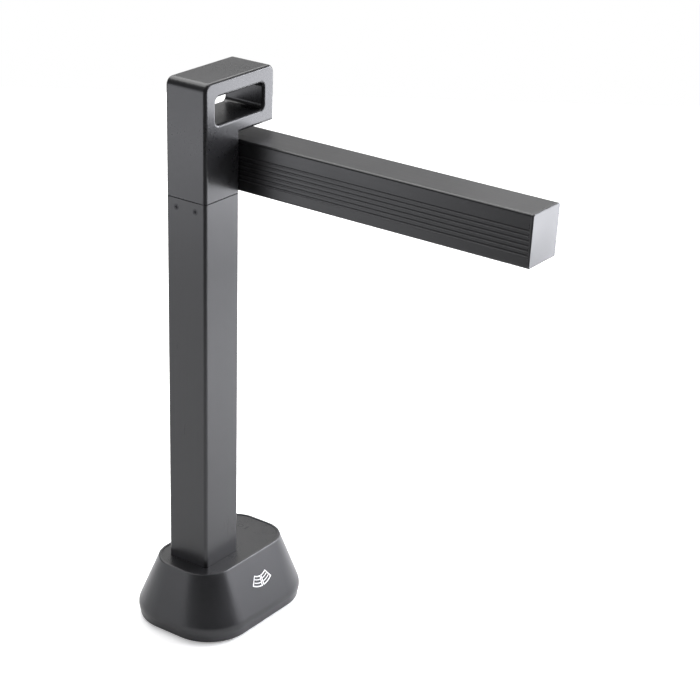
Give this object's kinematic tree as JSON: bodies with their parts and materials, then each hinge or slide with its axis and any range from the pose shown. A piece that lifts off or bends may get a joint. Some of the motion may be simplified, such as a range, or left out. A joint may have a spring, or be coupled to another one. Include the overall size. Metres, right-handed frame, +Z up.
{
  "type": "book scanner",
  "caption": "Free-standing book and document scanner: weighted base, square column, handled head and a ridged camera arm that folds down beside the column.",
  "frame": {"origin": "middle of the base's footprint, on the desk under the rubber pad", "axes": "+Z up along the column, -Y the way the camera arm points at rest, +X from the column towards the arm's side"},
  "size_m": [0.1124, 0.2726, 0.3812],
  "materials": {
    "base_plastic": "satin, fine texture",
    "deck_plastic": "satin",
    "column_metal": "dark satin anodised",
    "head_paint": "dark satin paint",
    "arm_metal": "dark satin anodised",
    "arm_plastic": "satin",
    "key_print": "printed",
    "rubber": "matt",
    "steel": "bright",
    "zinc_screw": "zinc plated",
    "black_screw": "black oxide",
    "iron": "rough",
    "cast_metal": "as cast",
    "bronze": "turned",
    "washer_plastic": "smooth",
    "board": "solder resist",
    "cable_skin": "smooth",
    "lens_metal": "black anodised",
    "inner_plastic": "smooth",
    "clear_glass": "coated",
    "sensor_chip": "polished",
    "led_resin": "moulded",
    "diffuser_plastic": "frosted"
  },
  "bodies": {
    "stand": {"base_shell": "base_plastic", "deck_panel": "deck_plastic", "touch_key_marks": "key_print", "touch_sensor_board": "board", "base_plate": "steel", "base_plate_screws": "zinc_screw", "ballast_screws": "zinc_screw", "ballast_weight": "iron", "rubber_pad": "rubber", "column_foot": "cast_metal", "column_foot_screws": "zinc_screw", "column_tube_screws": "zinc_screw", "base_board": "board", "board_standoffs": "bronze", "board_screws": "zinc_screw", "usb_socket": "steel", "column_tube": "column_metal", "column_screws": "black_screw", "column_cable": "cable_skin", "head_housing": "head_paint", "head_rear_cover": "head_paint", "head_cover_screws": "black_screw", "head_frame": "cast_metal", "head_frame_screws": "zinc_screw", "hinge_bushes": "bronze"},
    "arm": {"hinge_shaft": "steel", "friction_washers": "steel", "disc_springs": "steel", "hinge_nut": "steel", "thrust_washer": "washer_plastic", "hinge_flange_screws": "zinc_screw", "arm_extrusion": "arm_metal", "arm_bottom_cover": "arm_plastic", "arm_cover_screws": "black_screw", "arm_end_cap": "arm_plastic", "arm_root_cap": "arm_plastic", "camera_housing": "inner_plastic", "lens_barrel": "lens_metal", "lens_glass": "clear_glass", "camera_window": "clear_glass", "image_sensor": "sensor_chip", "camera_board": "board", "camera_screws": "zinc_screw", "led_board": "board", "leds": "led_resin", "led_diffuser": "diffuser_plastic", "arm_cable": "cable_skin"}
  },
  "joints": [
    {"name": "arm_fold", "type": "hinge", "parent": "stand", "child": "arm", "pos_m": [0.0167, 0.00135, 0.32155], "axis": [1, 0, 0], "range_deg": [0, 90]}
  ]
}
